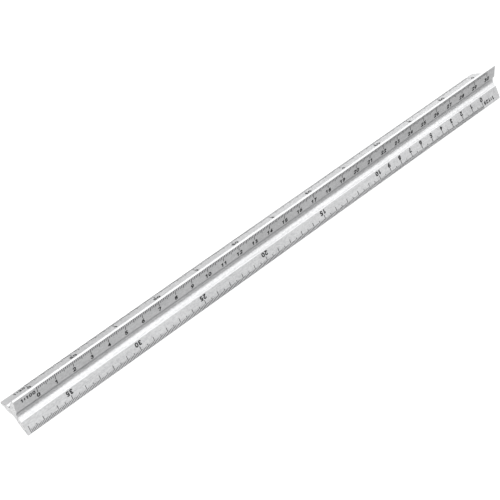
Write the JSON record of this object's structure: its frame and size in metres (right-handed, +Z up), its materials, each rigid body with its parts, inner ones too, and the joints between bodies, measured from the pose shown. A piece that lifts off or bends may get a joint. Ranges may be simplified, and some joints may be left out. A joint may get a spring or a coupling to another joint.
{
  "type": "triangular scale ruler",
  "caption": "Aluminium three-winged drafting ruler with a reduction scale printed in black on each of its flat strips and a round flute between the wings",
  "frame": {"origin": "under the middle of the ruler, on the surface it stands on", "axes": "+X along the ruler, to the right when the 1:100 scale is read; +Y from the front wing to the back wing; +Z up to the top wing"},
  "size_m": [0.319, 0.021, 0.0183],
  "materials": {
    "aluminium": "satin clear-anodised extrusion with fine lines along its length",
    "ink": "thin matt black printing ink"
  },
  "bodies": {
    "root": {"ruler_body": "aluminium", "graduations_1_100": "ink", "graduations_1_125": "ink", "graduations_1_20": "ink", "graduations_1_25": "ink", "graduations_1_50": "ink", "graduations_1_75": "ink", "numerals_1_100": "ink", "numerals_1_125": "ink", "numerals_1_20": "ink", "numerals_1_25": "ink", "numerals_1_50": "ink", "numerals_1_75": "ink", "ratio_1_100": "ink", "ratio_1_125": "ink", "ratio_1_20": "ink", "ratio_1_25": "ink", "ratio_1_50": "ink", "ratio_1_75": "ink"}
  },
  "joints": []
}
